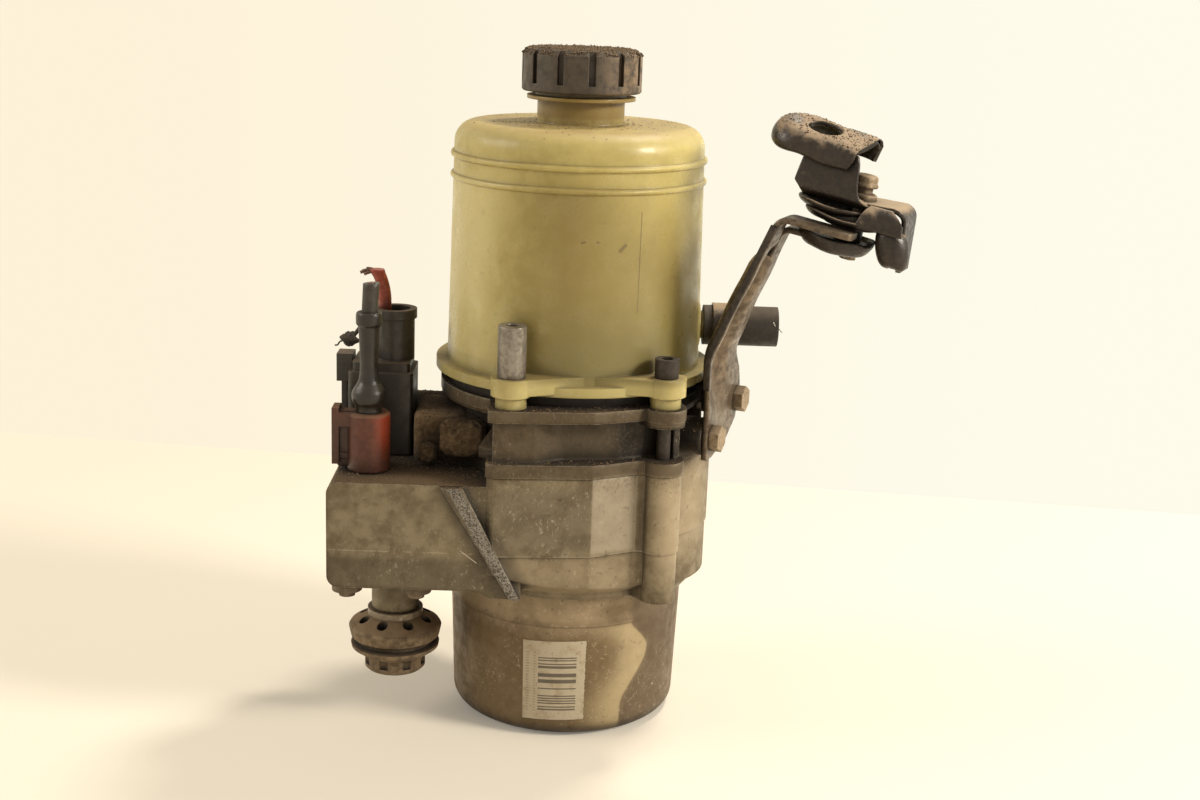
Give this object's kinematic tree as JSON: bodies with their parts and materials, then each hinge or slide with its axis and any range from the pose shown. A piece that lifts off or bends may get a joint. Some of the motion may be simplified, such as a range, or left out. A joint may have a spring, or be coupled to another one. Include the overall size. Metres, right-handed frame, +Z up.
{
  "type": "power steering pump",
  "caption": "Electric hydraulic power steering pump: motor can, cast controller box with plugs, gear pump, fluid reservoir with screw cap, hose stub and hanger bracket.",
  "frame": {"origin": "centre of the motor can's flat base", "axes": "+Z up along the motor shaft, -Y towards the front with the sticker and the diagonal rib, +X towards the bracket"},
  "size_m": [0.239, 0.135, 0.2915],
  "materials": {
    "cast_aluminium": "weathered casting",
    "can_metal": "satin, dirty",
    "cover_metal": "satin",
    "tank_plastic": "yellowed, slightly see-through",
    "cap_plastic": "dusty",
    "black_rubber": "matt",
    "isolator_rubber": "matt, dusty",
    "boot_rubber": "matt",
    "red_plastic": "dusty",
    "black_plastic": "dusty",
    "dark_cable": "matt",
    "red_cable": "matt",
    "dull_steel": "dull, dusty",
    "rusty_steel": "lightly rusted",
    "dark_steel": "black paint, rusty and dirty",
    "bright_steel": "ground",
    "iron_core": "stacked sheet",
    "magnet": "sintered",
    "copper": "bare",
    "board_green": "varnished",
    "component_black": "moulded",
    "strainer_mesh": "woven",
    "machined_aluminium": "machined"
  },
  "bodies": {
    "pump": {"main_housing": "cast_aluminium", "pump_casting": "cast_aluminium", "motor_can": "can_metal", "box_cover": "cover_metal", "reservoir": "tank_plastic", "reservoir_seal": "black_rubber", "return_hose": "black_rubber", "shaft_seal": "black_rubber", "mount_bush": "black_rubber", "isolator_bush": "isolator_rubber", "power_socket": "black_plastic", "signal_socket": "black_plastic", "bracket_arm": "dull_steel", "spacer_stud": "dull_steel", "isolator_stud": "dull_steel", "cover_screws": "dull_steel", "gear_screws": "dull_steel", "relief_plug": "dull_steel", "bracket_bolts": "rusty_steel", "mount_bolt": "rusty_steel", "mount_washer": "rusty_steel", "hood_bracket": "dark_steel", "mount_clip": "dark_steel", "mount_cup": "dark_steel", "long_screws": "dark_steel", "hose_clamp": "dark_steel", "relief_spring": "bright_steel", "upper_outer_ring": "bright_steel", "lower_outer_ring": "bright_steel", "stator_core": "iron_core", "stator_coils": "copper", "phase_busbars": "copper", "circuit_board": "board_green", "capacitors": "component_black", "power_transistors": "component_black", "suction_strainer": "strainer_mesh", "gear_housing": "machined_aluminium", "gear_cover": "machined_aluminium", "isolator_washer": "machined_aluminium"},
    "rotor": {"motor_shaft": "bright_steel", "rotor_core": "iron_core", "rotor_magnets": "magnet", "upper_inner_ring": "bright_steel", "lower_inner_ring": "bright_steel", "shaft_coupling": "bright_steel", "drive_gear": "bright_steel"},
    "idler": {"idler_gear": "bright_steel"},
    "upper_ball_set": {"upper_balls": "bright_steel"},
    "lower_ball_set": {"lower_balls": "bright_steel"},
    "relief_valve": {"relief_poppet": "bright_steel"},
    "cap_seal": {"cap_gasket": "black_rubber"},
    "cap": {"filler_cap": "cap_plastic"},
    "power_lead": {"power_plug": "red_plastic", "power_boot": "boot_rubber", "power_cable": "dark_cable"},
    "signal_lead": {"signal_plug": "black_plastic", "signal_cable": "red_cable"}
  },
  "joints": [
    {"name": "rotor_spin", "type": "hinge", "parent": "pump", "child": "rotor", "pos_m": [0, 0, 0], "axis": [0, 0, 1], "continuous": true},
    {"name": "idler_spin", "type": "hinge", "parent": "pump", "child": "idler", "pos_m": [0, 0.024, 0], "axis": [0, 0, 1], "continuous": true},
    {"name": "upper_ball_spin", "type": "hinge", "parent": "pump", "child": "upper_ball_set", "pos_m": [0, 0, 0], "axis": [0, 0, 1], "continuous": true},
    {"name": "lower_ball_spin", "type": "hinge", "parent": "pump", "child": "lower_ball_set", "pos_m": [0, 0, 0], "axis": [0, 0, 1], "continuous": true},
    {"name": "relief_slide", "type": "slide", "parent": "pump", "child": "relief_valve", "axis": [0, 1, 0], "range_m": [0, 0.002], "stiffness_N_per_m": 2000, "springref_m": -0.002, "deforming": ["relief_spring"]},
    {"name": "cap_lift", "type": "slide", "parent": "pump", "child": "cap_seal", "axis": [0, 0, 1], "range_m": [0, 0.006]},
    {"name": "cap_turn", "type": "hinge", "parent": "cap_seal", "child": "cap", "pos_m": [0, 0, 0], "axis": [0, 0, 1], "range_deg": [0, 540]},
    {"name": "power_pull", "type": "slide", "parent": "pump", "child": "power_lead", "axis": [0, 0, 1], "range_m": [0, 0.02]},
    {"name": "signal_pull", "type": "slide", "parent": "pump", "child": "signal_lead", "axis": [0, 0, 1], "range_m": [0, 0.02]}
  ],
  "couplings": [
    {"joint": "idler_spin", "follows": "rotor_spin", "ratio": -1},
    {"joint": "upper_ball_spin", "follows": "rotor_spin", "ratio": 0.38},
    {"joint": "lower_ball_spin", "follows": "rotor_spin", "ratio": 0.3636},
    {"joint": "cap_lift", "follows": "cap_turn", "m_per_rad": 0.00063662}
  ]
}
